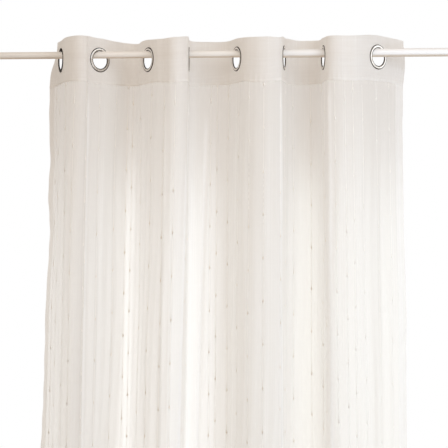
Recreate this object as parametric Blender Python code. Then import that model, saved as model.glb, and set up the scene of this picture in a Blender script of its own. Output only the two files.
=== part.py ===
"""Sheer voile curtain with an eyelet heading, hung in uneven folds on a two-part telescopic rod.

The rod lies along X through the origin, Y points away from the viewer and Z points up. The cloth
is one flat width of voile. Its flat coordinate is `across`, from the left edge to the right one.
At every height the cloth follows a plan curve whose length is that flat width: straight where an
eyelet holds it, and bent into one fold between each eyelet and the next.
"""

import math
from collections import namedtuple

import bmesh
import bpy
import numpy as np

# Driving dimensions, in metres and degrees.
EYELET_PITCH = 0.180  # along the cloth, from one eyelet to the next
EDGE_MARGIN = 0.070  # along the cloth, from the end eyelets to the side edges
FLAT_STRETCH = 0.030  # on each side of an eyelet, where its ring keeps the cloth flat
HEADING_RISE = 0.0465  # from an eyelet's centre up to the top edge
HEADING_DEPTH = 0.1010
DROP = 2.400  # from the top edge to the hem

HEADING_THICKNESS = 0.0014
PANEL_THICKNESS = 0.0010
HEM_THICKNESS = 0.0016
SIDE_HEM = 0.018
BOTTOM_HEM = 0.055
HEM_STEP = 0.002  # over which a hem thins to the single cloth

RING_BORE = 0.0200  # radius
RING_RIM = 0.0280  # radius
RING_THICKNESS = 0.0046
RING_CHAMFER = 0.0012
GROOVE_RADIUS = 0.0240
GROOVE_WIDTH = 0.0020
RING_SEGMENTS = 24

INNER_TUBE_RADIUS = 0.0080
OUTER_TUBE_RADIUS = 0.0095
SOCKET_RADIUS = 0.0084
ROD_HALF_LENGTH = 0.600
ROD_STEP = 0.084  # where the thick tube starts
ROD_OVERLAP = 0.150  # how far the thin tube runs inside the thick one
ROD_SEGMENTS = 24
ROD_CHAMFER = 0.0010

GAP = 0.0003  # between pieces that touch

FOLD_STEPS = 11  # columns in the bent part of a fold
HEADING_ROWS = 4
PANEL_ROWS = 12
ROW_CROWDING = 1.4  # above 1, rows stand closer together near the heading

CURVE_STEPS = 88  # steps of the plan curve in the bent part of a fold
DROP_SAMPLES = 91  # places round the rod at which a ring's room is worked out
SOLVER_ROUNDS = 40
SOLVER_NUDGE = 1e-4  # radians, the trial change that measures a wave's effect
SOLVER_STRIDE = 0.3  # radians, the most that a wave changes in one round
WELD = 1e-6  # points nearer than this become one
TURNED_CREASE = 35.0  # degrees, from which an edge is shaded sharp
CLOTH_CREASE = 60.0

# One row for each eyelet: its place along the rod, the angle by which the cloth there turns away
# from square to the rod, and both again at the hem, where the cloth hangs free.
Eyelet = namedtuple("Eyelet", "x turn hem_x hem_turn")
EYELETS = (
    Eyelet(-0.3740, 22.0, -0.4170, 32.0),
    Eyelet(-0.2840, 43.0, -0.3260, 32.0),
    Eyelet(-0.1735, 34.0, -0.2110, 24.0),
    Eyelet(-0.0800, -4.0, -0.1150, 8.0),
    Eyelet(0.0285, 25.0, 0.0150, 18.0),
    Eyelet(0.1365, 7.0, 0.1380, 9.0),
    Eyelet(0.2245, 9.0, 0.2400, 12.0),
    Eyelet(0.3480, 45.0, 0.3850, 38.0),
)

# One row for each fold between two eyelets, front and back in turn: how far its bend is pushed to
# one side at the rod and at the hem, a dent in its flank (turn in degrees, place along the fold),
# and how far the cloth sinks at its middle.
Fold = namedtuple("Fold", "skew hem_skew dent dent_place sink")
FOLDS = (
    Fold(-0.60, -0.10, 0.0, 0.50, 0.0000),
    Fold(-0.30, 0.20, 12.0, 0.30, -0.0010),
    Fold(0.10, -0.30, 80.0, 0.16, 0.0050),
    Fold(0.20, 0.35, -10.0, 0.65, -0.0010),
    Fold(-0.30, 0.10, 17.0, 0.15, 0.0055),
    Fold(0.00, -0.20, 10.0, 0.70, -0.0010),
    Fold(0.00, 0.25, -14.0, 0.60, 0.0035),
)
DENT_WIDTH = 0.15  # of the fold's length
HANG_SPREAD = 0.9  # below 1, the folds change faster near the heading than near the hem

# One row for each side edge: how much the flap beyond the end eyelet bends at the top edge, at the
# heading's seam and at the hem, in degrees, and how far its corner droops.
Flap = namedtuple("Flap", "top_bend seam_bend hem_bend droop")
LEFT_FLAP = Flap(-25.0, 36.0, 4.0, 0.0030)
RIGHT_FLAP = Flap(-52.0, -32.0, -28.0, 0.0060)

# Flat coordinates that the sizes above give.
EYELET_PLACES = EDGE_MARGIN + EYELET_PITCH * np.arange(len(EYELETS))
FLAT_WIDTH = EYELET_PLACES[-1] + EDGE_MARGIN
BEND_LENGTH = EYELET_PITCH - 2 * FLAT_STRETCH
HEM_DEPTH = DROP - HEADING_RISE  # from the eyelets' centres down to the bottom edge


def material(name, colour, roughness, metallic=0.0, alpha=1.0):
    """A Principled material of one finish."""
    made = bpy.data.materials.new(name)
    made.use_nodes = True
    shader = made.node_tree.nodes["Principled BSDF"]
    shader.inputs["Base Color"].default_value = (*colour, 1.0)
    shader.inputs["Roughness"].default_value = roughness
    shader.inputs["Metallic"].default_value = metallic
    shader.inputs["Alpha"].default_value = alpha
    return made


def add_object(name, mesh, finish=None):
    """Links a mesh to the scene as one named object."""
    obj = bpy.data.objects.new(name, mesh)
    if finish is not None and not mesh.materials:
        mesh.materials.append(finish)
    bpy.context.scene.collection.objects.link(obj)
    return obj


def shade_round(mesh, crease):
    """Shades a mesh smooth, but for the edges that turn by more than the crease angle."""
    mesh.shade_smooth()
    mesh.set_sharp_from_angle(angle=math.radians(crease))


# The rod and the rings.


def turned_mesh(name, profile, segments):
    """A closed profile of (radius, height) points, spun once round the Z axis."""
    bm = bmesh.new()
    loop = [bm.verts.new((radius, 0.0, height)) for radius, height in profile]
    edges = [bm.edges.new((a, b)) for a, b in zip(loop, loop[1:] + loop[:1])]
    bmesh.ops.spin(
        bm, geom=loop + edges, axis=(0, 0, 1), cent=(0, 0, 0), angle=math.tau, steps=segments
    )
    bmesh.ops.remove_doubles(bm, verts=bm.verts, dist=WELD)
    bmesh.ops.dissolve_degenerate(bm, edges=bm.edges, dist=WELD)
    bmesh.ops.recalc_face_normals(bm, faces=bm.faces)
    mesh = bpy.data.meshes.new(name)
    bm.to_mesh(mesh)
    bm.free()
    shade_round(mesh, TURNED_CREASE)
    return mesh


def mirrored(half):
    """A profile's upper half followed by its mirror image below the middle plane."""
    return half + [(radius, -height) for radius, height in reversed(half)]


def ring_profile():
    """A rounded band with a groove in its rim, in which it grips the cloth."""
    face = RING_THICKNESS / 2
    lip = GROOVE_WIDTH / 2
    return mirrored(
        [
            (GROOVE_RADIUS, lip),
            (RING_RIM, lip),
            (RING_RIM - RING_CHAMFER, face),
            (RING_BORE + RING_CHAMFER, face),
            (RING_BORE, face - RING_CHAMFER),
        ]
    )


def inner_tube_profile():
    """The thin bar, chamfered at both ends; its left end lies at height 0."""
    length = ROD_HALF_LENGTH + ROD_STEP + ROD_OVERLAP
    chamfered = INNER_TUBE_RADIUS - ROD_CHAMFER
    return [
        (0.0, length),
        (chamfered, length),
        (INNER_TUBE_RADIUS, length - ROD_CHAMFER),
        (INNER_TUBE_RADIUS, ROD_CHAMFER),
        (chamfered, 0.0),
        (0.0, 0.0),
    ]


def outer_tube_profile():
    """The thick bar with a socket in its left end; that end lies at height 0."""
    length = ROD_HALF_LENGTH - ROD_STEP
    chamfered = OUTER_TUBE_RADIUS - ROD_CHAMFER
    socket = ROD_OVERLAP + GAP
    return [
        (0.0, length),
        (chamfered, length),
        (OUTER_TUBE_RADIUS, length - ROD_CHAMFER),
        (OUTER_TUBE_RADIUS, 0.0),
        (SOCKET_RADIUS, 0.0),
        (SOCKET_RADIUS, socket),
        (0.0, socket),
    ]


def build_rod(finish):
    """The two tubes of the rod, end to end along X."""
    tubes = (
        ("rod_inner", inner_tube_profile(), -ROD_HALF_LENGTH),
        ("rod_outer", outer_tube_profile(), ROD_STEP),
    )
    for name, profile, start in tubes:
        rod = add_object(name, turned_mesh(name, profile, ROD_SEGMENTS), finish)
        rod.location.x = start
        rod.rotation_euler.y = math.radians(90)


def rod_radius(x):
    """The radius of the tube that shows at a place along the rod."""
    return OUTER_TUBE_RADIUS if x > ROD_STEP else INNER_TUBE_RADIUS


def ring_drop(eyelet):
    """How far a ring's centre hangs below the rod's axis, for a ring turned away from the rod.

    Seen along the ring's axis the rod is an ellipse, which the ring's thickness shifts sideways
    at either face. The drop is the largest that leaves a gap all round.
    """
    turn = math.radians(eyelet.turn)
    radius = rod_radius(eyelet.x)
    free_bore = RING_BORE * math.cos(math.pi / RING_SEGMENTS) - GAP
    around = np.linspace(0, math.pi, DROP_SAMPLES)
    sideways = radius / math.cos(turn) * np.cos(around)
    sideways = np.abs(sideways) + (RING_THICKNESS / 2 - RING_CHAMFER) * abs(math.tan(turn))
    room = np.sqrt(np.maximum(free_bore**2 - sideways**2, 0))
    return float(np.min(room - radius * np.sin(around)))


# The plan curve of the cloth.


def direction(index, turn):
    """The cloth's direction at an eyelet: towards the viewer at the odd ones, away at the even."""
    side = -1 if index % 2 == 0 else 1
    return side * math.radians(90 - turn)


def walk(start, directions, length):
    """The points of a curve of this length whose direction is given at even steps."""
    step = length / (len(directions) - 1)
    ahead = np.stack([np.cos(directions), np.sin(directions)], axis=1)
    moves = (ahead[1:] + ahead[:-1]) / 2 * step
    return start + np.concatenate([np.zeros((1, 2)), np.cumsum(moves, axis=0)])


def fold_curve(start, start_direction, end, end_direction, fold, skew):
    """The bent part of a fold, from one flat stretch to the next.

    Its direction swings from the start's to the end's. Two waves are added to the swing, and
    Newton's method finds how strong they must be for the curve to arrive at its end.
    """
    place = np.linspace(0, 1, CURVE_STEPS + 1)
    skewed = place + skew * place * (1 - place)
    swing = skewed - np.sin(math.tau * skewed) / (2 * math.tau)
    dent = np.exp(-(((place - fold.dent_place) / DENT_WIDTH) ** 2)) * np.sin(math.pi * place)
    plain = start_direction + (end_direction - start_direction) * swing
    plain = plain + math.radians(fold.dent) * dent
    waves = np.stack([np.sin(math.tau * skewed), np.sin(math.pi * place)])

    def points(strengths):
        return walk(start, plain + strengths @ waves, BEND_LENGTH)

    strengths = np.zeros(2)
    for _ in range(SOLVER_ROUNDS):
        miss = points(strengths)[-1] - end
        trials = [points(strengths + SOLVER_NUDGE * axis)[-1] - end for axis in np.eye(2)]
        slopes = np.transpose([(trial - miss) / SOLVER_NUDGE for trial in trials])
        change = np.linalg.solve(slopes, miss)
        strengths = strengths - np.clip(change, -SOLVER_STRIDE, SOLVER_STRIDE)
    return points(strengths)


def flap_curve(start, start_direction, bend):
    """The straight stretch and the bent rest of the cloth beyond an end eyelet."""
    length = np.linspace(0, EDGE_MARGIN, CURVE_STEPS + 1)
    bent = np.clip((length - FLAT_STRETCH) / (EDGE_MARGIN - FLAT_STRETCH), 0, 1)
    return walk(start, start_direction + math.radians(bend) * bent, EDGE_MARGIN)


def plan_curve(across, down):
    """The cloth's plan at a depth below the eyelets, at the given flat coordinates.

    Returns the points and the directions square to the cloth, one row for each coordinate.
    """
    seam = HEADING_DEPTH - HEADING_RISE
    hang = np.clip((down - seam) / (HEM_DEPTH - seam), 0, 1) ** HANG_SPREAD

    def between(top, hem):
        return top + (hem - top) * hang

    def flap_bend(flap):
        opened = np.interp(down, (-HEADING_RISE, seam), (flap.top_bend, flap.seam_bend))
        return between(opened, flap.hem_bend)

    centres = [np.array([between(e.x, e.hem_x), 0.0]) for e in EYELETS]
    directions = [direction(i, between(e.turn, e.hem_turn)) for i, e in enumerate(EYELETS)]
    ahead = [np.array([math.cos(d), math.sin(d)]) for d in directions]

    left = flap_curve(centres[0], directions[0] + math.pi, flap_bend(LEFT_FLAP))[::-1]
    right = flap_curve(centres[-1], directions[-1], flap_bend(RIGHT_FLAP))
    pieces = [left[:-1]]
    lengths = [np.linspace(0, EDGE_MARGIN, CURVE_STEPS + 1)[:-1]]
    for i, fold in enumerate(FOLDS):
        start = centres[i] + FLAT_STRETCH * ahead[i]
        end = centres[i + 1] - FLAT_STRETCH * ahead[i + 1]
        skew = between(fold.skew, fold.hem_skew)
        pieces += [
            centres[i][None],
            fold_curve(start, directions[i], end, directions[i + 1], fold, skew),
        ]
        bend = EYELET_PLACES[i] + FLAT_STRETCH + np.linspace(0, BEND_LENGTH, CURVE_STEPS + 1)
        lengths += [EYELET_PLACES[i : i + 1], bend]
    pieces.append(right)
    lengths.append(EYELET_PLACES[-1] + np.linspace(0, EDGE_MARGIN, CURVE_STEPS + 1))

    curve = np.concatenate(pieces)
    length = np.concatenate(lengths)
    points = np.stack([np.interp(across, length, curve[:, axis]) for axis in (0, 1)], axis=1)
    slope = np.gradient(curve, length, axis=0)
    tangent = np.stack([np.interp(across, length, slope[:, axis]) for axis in (0, 1)], axis=1)
    tangent /= np.linalg.norm(tangent, axis=1, keepdims=True)
    square = np.stack([tangent[:, 1], -tangent[:, 0]], axis=1)
    return points, square


def eyelet_heights(across):
    """The height of the eyelets' line: level at each ring, blended and sagging between them."""
    drops = [-ring_drop(eyelet) for eyelet in EYELETS]
    height = np.full_like(across, drops[0])
    for i, fold in enumerate(FOLDS):
        place = np.clip((across - EYELET_PLACES[i] - FLAT_STRETCH) / BEND_LENGTH, 0, 1)
        height += (drops[i + 1] - drops[i]) * place * place * (3 - 2 * place)
        height -= fold.sink * np.sin(math.pi * place) ** 2
    left = np.clip((EDGE_MARGIN - FLAT_STRETCH - across) / (EDGE_MARGIN - FLAT_STRETCH), 0, 1)
    right = (across - EYELET_PLACES[-1] - FLAT_STRETCH) / (EDGE_MARGIN - FLAT_STRETCH)
    height -= LEFT_FLAP.droop * left**2
    height -= RIGHT_FLAP.droop * np.clip(right, 0, 1) ** 2
    return height


# The cloth.


def cloth_columns():
    """The flat coordinates of the mesh's columns: more of them where the cloth bends."""
    columns = [0.0, SIDE_HEM - HEM_STEP, SIDE_HEM, EDGE_MARGIN - FLAT_STRETCH]
    for place in EYELET_PLACES[:-1]:
        columns += [place, *(place + FLAT_STRETCH + np.linspace(0, BEND_LENGTH, FOLD_STEPS + 1))]
    columns += [EYELET_PLACES[-1], EYELET_PLACES[-1] + FLAT_STRETCH]
    columns += [FLAT_WIDTH - SIDE_HEM, FLAT_WIDTH - SIDE_HEM + HEM_STEP, FLAT_WIDTH]
    return np.array(columns)


def panel_rows():
    """The depths of the panel's rows, from just below the heading to the bottom edge."""
    top = HEADING_DEPTH - HEADING_RISE + GAP
    hem = HEM_DEPTH - BOTTOM_HEM
    spread = np.linspace(0, 1, PANEL_ROWS) ** ROW_CROWDING
    return np.concatenate([top + (hem - top) * spread, [hem + HEM_STEP, HEM_DEPTH]])


def panel_thickness(across, down):
    """The panel's thickness at each column of one row: doubled in the hems."""
    if down > HEM_DEPTH - BOTTOM_HEM + HEM_STEP / 2:
        return np.full_like(across, HEM_THICKNESS)
    edge = np.minimum(across, FLAT_WIDTH - across)
    return np.where(edge < SIDE_HEM - HEM_STEP / 2, HEM_THICKNESS, PANEL_THICKNESS)


def sheet_mesh(name, across, rows, thickness):
    """A closed sheet: a front and a back grid, joined along their four sides.

    `thickness` gives each row's thickness from the columns and the row's depth.
    """
    heights = eyelet_heights(across)
    front = []
    back = []
    for down in rows:
        points, square = plan_curve(across, down)
        half = thickness(across, down)[:, None] / 2
        level = (heights - down)[:, None]
        front.append(np.hstack([points + square * half, level]))
        back.append(np.hstack([points - square * half, level]))
    grid = np.arange(2 * len(rows) * len(across)).reshape(2, len(rows), len(across))

    def strips(first, second):
        """The triangles between two rows of vertex numbers, with all diagonals one way."""
        lower = np.stack([first[:-1], second[:-1], second[1:]], axis=-1)
        upper = np.stack([first[:-1], second[1:], first[1:]], axis=-1)
        return np.concatenate([lower, upper])

    faces = []
    for row in range(len(rows) - 1):
        faces.append(strips(grid[0, row], grid[0, row + 1]))
        faces.append(strips(grid[1, row], grid[1, row + 1])[:, ::-1])
    faces += [strips(grid[1, 0], grid[0, 0]), strips(grid[0, -1], grid[1, -1])]
    faces += [strips(grid[0, :, 0], grid[1, :, 0]), strips(grid[1, :, -1], grid[0, :, -1])]
    mesh = bpy.data.meshes.new(name)
    mesh.from_pydata(np.concatenate(front + back).tolist(), [], np.concatenate(faces).tolist())
    bm = bmesh.new()
    bm.from_mesh(mesh)
    bmesh.ops.recalc_face_normals(bm, faces=bm.faces)
    bm.to_mesh(mesh)
    bm.free()
    shade_round(mesh, CLOTH_CREASE)
    return mesh


def build_panel(finish):
    """The voile panel, from just below the heading to the bottom hem."""
    add_object("panel", sheet_mesh("panel", cloth_columns(), panel_rows(), panel_thickness), finish)


def build_heading(finish, cutters):
    """The doubled strip along the top, with a hole for each eyelet."""
    rows = np.linspace(-HEADING_RISE, HEADING_DEPTH - HEADING_RISE, HEADING_ROWS)

    def thickness(across, down):
        return np.full_like(across, HEADING_THICKNESS)

    heading = add_object("heading", sheet_mesh("heading", cloth_columns(), rows, thickness), finish)
    cut = heading.modifiers.new("eyelet holes", "BOOLEAN")
    cut.operand_type = "COLLECTION"
    cut.collection = cutters


def at_eyelet(obj, index):
    """Places a turned object at an eyelet, its axis square to the cloth there."""
    eyelet = EYELETS[index]
    obj.location = (eyelet.x, 0.0, -ring_drop(eyelet))
    obj.rotation_euler = (math.radians(90), 0.0, direction(index, eyelet.turn))


def build_eyelets(finish):
    """The rings, which share one mesh, and the collection of cutters for their holes."""
    ring = turned_mesh("eyelet", ring_profile(), RING_SEGMENTS)
    hole = GROOVE_RADIUS + GAP
    depth = 2 * HEADING_THICKNESS
    cutter = turned_mesh(
        "hole", [(0.0, depth), (hole, depth), (hole, -depth), (0.0, -depth)], RING_SEGMENTS
    )
    cutters = bpy.data.collections.new("eyelet holes")
    cutters.hide_render = True
    bpy.context.scene.collection.children.link(cutters)
    for index in range(len(EYELETS)):
        at_eyelet(add_object(f"eyelet_{index + 1}", ring, finish), index)
        hole_cutter = bpy.data.objects.new(f"hole_{index + 1}", cutter)
        hole_cutter.hide_render = True
        hole_cutter.display_type = "WIRE"
        cutters.objects.link(hole_cutter)
        at_eyelet(hole_cutter, index)
    return cutters


def main():
    for obj in list(bpy.data.objects):
        bpy.data.objects.remove(obj)
    build_rod(material("satin white paint", (0.78, 0.72, 0.66), 0.4))
    cutters = build_eyelets(material("nickel", (0.70, 0.69, 0.68), 0.12, metallic=1.0))
    build_heading(material("doubled voile", (0.86, 0.83, 0.79), 0.85, alpha=0.9), cutters)
    build_panel(material("voile", (0.87, 0.85, 0.81), 0.85, alpha=0.7))


main()
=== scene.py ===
"""A sheer voile curtain with an eyelet heading, hanging in uneven folds on a two-part rod.

Each piece of cloth, yarn and sewing is worked out on the flat cloth and then hung. `across` is the
place along the cloth's width, from its left edge, and `down` the depth below the eyelets' centres,
both in metres. The rod's axis is the X axis, Y points away from the viewer and Z points up.
"""

import logging
import math
from dataclasses import dataclass, field
from enum import Enum

import bmesh
import bpy
import numpy as np
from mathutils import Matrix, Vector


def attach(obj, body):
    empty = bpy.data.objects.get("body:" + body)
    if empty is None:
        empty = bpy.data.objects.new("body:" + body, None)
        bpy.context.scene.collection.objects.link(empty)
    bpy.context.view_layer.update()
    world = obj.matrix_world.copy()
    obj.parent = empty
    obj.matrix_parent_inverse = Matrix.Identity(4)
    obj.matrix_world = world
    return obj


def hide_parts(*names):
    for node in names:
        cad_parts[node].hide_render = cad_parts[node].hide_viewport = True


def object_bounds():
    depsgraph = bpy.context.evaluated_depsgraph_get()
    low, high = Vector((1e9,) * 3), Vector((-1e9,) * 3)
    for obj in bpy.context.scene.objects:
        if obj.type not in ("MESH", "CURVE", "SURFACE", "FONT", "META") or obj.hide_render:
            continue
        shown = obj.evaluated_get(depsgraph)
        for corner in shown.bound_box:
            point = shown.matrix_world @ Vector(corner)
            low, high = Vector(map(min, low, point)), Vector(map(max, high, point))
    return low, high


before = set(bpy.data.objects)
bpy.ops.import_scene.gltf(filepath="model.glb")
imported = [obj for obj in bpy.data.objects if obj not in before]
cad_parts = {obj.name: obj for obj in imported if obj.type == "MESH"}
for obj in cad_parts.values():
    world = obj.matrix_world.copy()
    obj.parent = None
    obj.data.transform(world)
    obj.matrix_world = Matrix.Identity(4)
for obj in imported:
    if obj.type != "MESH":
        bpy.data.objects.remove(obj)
SOLIDS_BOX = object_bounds()

LOG = logging.getLogger("voile_curtain")
TURN = math.tau
ROOT = "root"
FLAT_UV = "flat"
CREASE = "crease"
KNOT = "knot"
EDGE = "edge"

# Metres: a short step by which directions are measured, the gap under the hem, the radii of the
# rod's tubes and the place of the step between them.
FEELER = 0.001
FLOOR_GAP = 0.002
THIN_ROD = 0.0080
THICK_ROD = 0.0095
ROD_STEP = 0.084

Colour = tuple[float, float, float]
Point = tuple[float, float, float]
Span = tuple[float, float]


# Meshes from arrays.


def make_mesh(
    name: str, points: np.ndarray, faces: list[np.ndarray], flat: np.ndarray | None = None
) -> bpy.types.Mesh:
    """Puts arrays of points and faces into a smooth mesh.

    Args:
        name: The mesh's name.
        points: One row of x, y and z for each point.
        faces: Arrays of point numbers, one row for each face; each array holds one size of face.
        flat: One row of flat coordinates for each point, kept as a UV map.

    Returns:
        The mesh, without the points that no face uses.
    """
    corners = np.concatenate([rows.ravel() for rows in faces])
    used, corners = np.unique(corners, return_inverse=True)
    sizes = np.concatenate([np.full(len(rows), rows.shape[1]) for rows in faces])
    starts = np.cumsum(sizes) - sizes
    mesh = bpy.data.meshes.new(name)
    mesh.vertices.add(len(used))
    mesh.vertices.foreach_set("co", points[used].astype(np.float32).ravel())
    mesh.loops.add(len(corners))
    mesh.loops.foreach_set("vertex_index", corners.astype(np.int32).ravel())
    mesh.polygons.add(len(sizes))
    mesh.polygons.foreach_set("loop_start", starts.astype(np.int32))
    if flat is not None:
        layer = mesh.uv_layers.new(name=FLAT_UV)
        layer.uv.foreach_set("vector", flat[used][corners.ravel()].astype(np.float32).ravel())
    mesh.update(calc_edges=True)
    mesh.validate()
    mesh.shade_smooth()
    return mesh


def weld(mesh: bpy.types.Mesh, distance: float = 1e-7) -> None:
    """Joins the points that lie in one place, such as the ends of a turned profile."""
    shape = bmesh.new()
    shape.from_mesh(mesh)
    bmesh.ops.remove_doubles(shape, verts=shape.verts, dist=distance)
    shape.to_mesh(mesh)
    shape.free()


def mark(mesh: bpy.types.Mesh, name: str, values: np.ndarray) -> None:
    """Keeps one number for each point of a mesh as an attribute."""
    layer = mesh.attributes.new(name, "FLOAT", "POINT")
    layer.data.foreach_set("value", values.astype(np.float32).ravel())


def grid_faces(
    rows: int, columns: int, close_rows: bool = False, close_columns: bool = False
) -> np.ndarray:
    """The four-cornered faces of a grid, whose points are numbered row by row.

    Args:
        rows: How many rows of points there are.
        columns: How many points a row has.
        close_rows: Whether the last row joins the first.
        close_columns: Whether the last column joins the first.

    Returns:
        One row of four point numbers for each face, turning from down to across.
    """
    numbers = np.arange(rows * columns).reshape(rows, columns)
    below = np.roll(numbers, -1, axis=0)
    beside = np.roll(numbers, -1, axis=1)
    both = np.roll(below, -1, axis=1)
    faces = np.stack([numbers, below, both, beside], axis=-1)
    faces = faces[: rows if close_rows else rows - 1, : columns if close_columns else columns - 1]
    return faces.reshape(-1, 4)


def facing_out(points: np.ndarray, faces: np.ndarray) -> np.ndarray:
    """Turns the faces of a closed shape round if they point inwards.

    The volume of a closed shape is the sum, over its faces, of a corner's vector dotted with the
    face's area vector, over three; it is negative where the faces point inwards.
    """
    first, second, third, fourth = (points[faces[:, i]] for i in range(4))
    area = np.cross(third - first, fourth - second)
    volume = np.einsum("ij,ij->", (first + third) / 2, area)
    return faces if volume > 0 else faces[:, ::-1]


def add_piece(name: str, mesh: bpy.types.Mesh, finish: bpy.types.Material) -> bpy.types.Object:
    """Links a mesh to the scene as a piece that rides on the fixed body."""
    piece = bpy.data.objects.new(name, mesh)
    mesh.materials.append(finish)
    bpy.context.scene.collection.objects.link(piece)
    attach(piece, ROOT)
    return piece


def smooth_step(value: np.ndarray) -> np.ndarray:
    """Rises from 0 to 1 with no slope at either end: three times the square less twice the cube."""
    value = np.clip(value, 0, 1)
    return value * value * (3 - 2 * value)


def bell(value: np.ndarray, centre: np.ndarray | float, width: float) -> np.ndarray:
    """A bell curve of height 1: e to the minus square of the distance over the width."""
    return np.exp(-(((value - centre) / width) ** 2))


def unit(vectors: np.ndarray) -> np.ndarray:
    """The vectors, scaled to a length of 1."""
    return vectors / np.linalg.norm(vectors, axis=-1, keepdims=True)


def turned(profile: np.ndarray, centre: Point, axes: np.ndarray, around: int) -> np.ndarray:
    """Turns a profile round an axis.

    Args:
        profile: Radius and height of each point.
        centre: The place on the axis from which the height counts.
        axes: Three directions: two across the axis, square to each other, and its own.
        around: At how many places round the axis the profile stands.

    Returns:
        One row of x, y and z for each point, one profile after the other.
    """
    angle = np.linspace(0, TURN, around, endpoint=False)[:, None]
    radius, height = profile.T
    parts = (radius * np.cos(angle), radius * np.sin(angle), height + 0 * angle)
    steps = (part[..., None] * axis for part, axis in zip(parts, axes))
    return sum(steps, np.array(centre)).reshape(-1, 3)


def records(kind: type, *rows: tuple) -> tuple:
    """One record of this kind for each row of values."""
    return tuple(kind(*row) for row in rows)


# Shader maths.


class Sock:
    """An output socket on which Python's operators add Math nodes."""

    def __init__(self, graph: "Graph", socket: bpy.types.NodeSocket) -> None:
        """Wraps a socket of that graph."""
        self.graph = graph
        self.socket = socket

    def __add__(self, other: "Sock | float") -> "Sock":
        """Adds."""
        return self.graph.math("ADD", self, other)

    __radd__ = __add__

    def __mul__(self, other: "Sock | float") -> "Sock":
        """Multiplies."""
        return self.graph.math("MULTIPLY", self, other)

    def __sub__(self, other: "Sock | float") -> "Sock":
        """Subtracts the other from this."""
        return self.graph.math("SUBTRACT", self, other)

    def __rsub__(self, other: float) -> "Sock":
        """Subtracts this from the other."""
        return self.graph.math("SUBTRACT", other, self)

    def sine(self) -> "Sock":
        """The sine, in radians."""
        return self.graph.math("SINE", self)

    def span(self, low: float, high: float) -> "Sock":
        """0 below the low value, 1 above the high one and smooth between them."""
        sockets = {"Value": self, "From Min": low, "From Max": high}
        return self.graph.node("ShaderNodeMapRange", sockets, interpolation_type="SMOOTHSTEP")

    def limit(self, low: float = 0.0, high: float = 1.0) -> "Sock":
        """This value kept between a low and a high one."""
        return self.graph.node("ShaderNodeClamp", {"Value": self, "Min": low, "Max": high})


class Graph:
    """A node tree, emptied and filled again with short calls."""

    def __init__(self, tree: bpy.types.NodeTree) -> None:
        """Empties the tree."""
        self.tree = tree
        tree.nodes.clear()

    def node(
        self, kind: str, sockets: dict | None = None, output: int | str = 0, **settings: str
    ) -> Sock:
        """Adds a node.

        Args:
            kind: The node's type.
            sockets: Values or links for its inputs, by name or number.
            output: The output to return.
            **settings: The node's properties, which are set first.

        Returns:
            That output, empty where the node has none.
        """
        made = self.tree.nodes.new(kind)
        for name, value in settings.items():
            setattr(made, name, value)
        for key, value in (sockets or {}).items():
            if isinstance(value, Sock):
                self.tree.links.new(value.socket, made.inputs[key])
            else:
                made.inputs[key].default_value = value
        return Sock(self, made.outputs[output] if made.outputs else None)

    def math(self, operation: str, *values: "Sock | float") -> Sock:
        """Adds one Math node on these values."""
        return self.node("ShaderNodeMath", dict(enumerate(values)), operation=operation)

    def mix_colour(
        self, share: "Sock | float", first: "Sock | Colour", second: "Sock | Colour"
    ) -> Sock:
        """Mixes two colours: the first where the share is 0, the second where it is 1."""
        first, second = (end if isinstance(end, Sock) else (*end, 1.0) for end in (first, second))
        return self.node("ShaderNodeMix", {0: share, 6: first, 7: second}, 2, data_type="RGBA")

    def noise(self, place: Sock, scale: float, detail: float = 2.0, rough: float = 0.5) -> Sock:
        """Three-dimensional noise round 0.5 at a place."""
        sockets = {"Vector": place, "Scale": scale, "Detail": detail, "Roughness": rough}
        return self.node("ShaderNodeTexNoise", sockets)

    def parts(self, vector: Sock) -> tuple[Sock, ...]:
        """The three values of a vector."""
        split = self.node("ShaderNodeSeparateXYZ", {0: vector}).socket.node
        return tuple(Sock(self, output) for output in split.outputs)

    def combine(self, x: "Sock | float", y: "Sock | float", z: "Sock | float") -> Sock:
        """A vector of three values."""
        return self.node("ShaderNodeCombineXYZ", {0: x, 1: y, 2: z})

    def flat_place(self) -> tuple[Sock, ...]:
        """The flat coordinates of the cloth, from the UV map: across and down."""
        return self.parts(self.node("ShaderNodeUVMap", uv_map=FLAT_UV))[:2]

    def object_place(self) -> Sock:
        """The place on the object, in metres."""
        return self.node("ShaderNodeTexCoord", output="Object")

    def attribute(self, name: str) -> Sock:
        """The numbers that are kept on a mesh's points under this name."""
        return self.node("ShaderNodeAttribute", output="Fac", attribute_name=name)

    def bump(self, height: Sock, strength: float, distance: float) -> Sock:
        """A normal tilted by a height."""
        sockets = {"Height": height, "Strength": strength, "Distance": distance}
        return self.node("ShaderNodeBump", sockets)

    def principled(self, sockets: dict) -> Sock:
        """A Principled shader."""
        return self.node("ShaderNodeBsdfPrincipled", sockets)

    def mix_shader(self, share: "Sock | float", first: Sock, second: Sock) -> Sock:
        """Mixes two shaders."""
        return self.node("ShaderNodeMixShader", {0: share, 1: first, 2: second})

    def surface(self, shader: Sock, kind: str = "ShaderNodeOutputMaterial") -> None:
        """Sends a shader to the output."""
        self.node(kind, {"Surface": shader})


def new_material(name: str) -> tuple[bpy.types.Material, Graph]:
    """A material and the empty graph of its nodes."""
    made = bpy.data.materials.new(name)
    made.use_nodes = True
    return made, Graph(made.node_tree)


# Finishes.


@dataclass(frozen=True)
class Grain:
    """Noise on the flat cloth: how many times a metre it changes across and down the cloth, which
    layer of the noise it is, its detail and its roughness."""

    across: float
    down: float
    layer: float = 0.0
    detail: float = 2.0
    rough: float = 0.5

    def spread(self, graph: Graph, across: Sock, down: Sock) -> Sock:
        """The noise, round 0.5."""
        place = graph.combine(across * self.across, down * self.down, self.layer)
        return graph.noise(place, 1.0, self.detail, self.rough)


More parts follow.
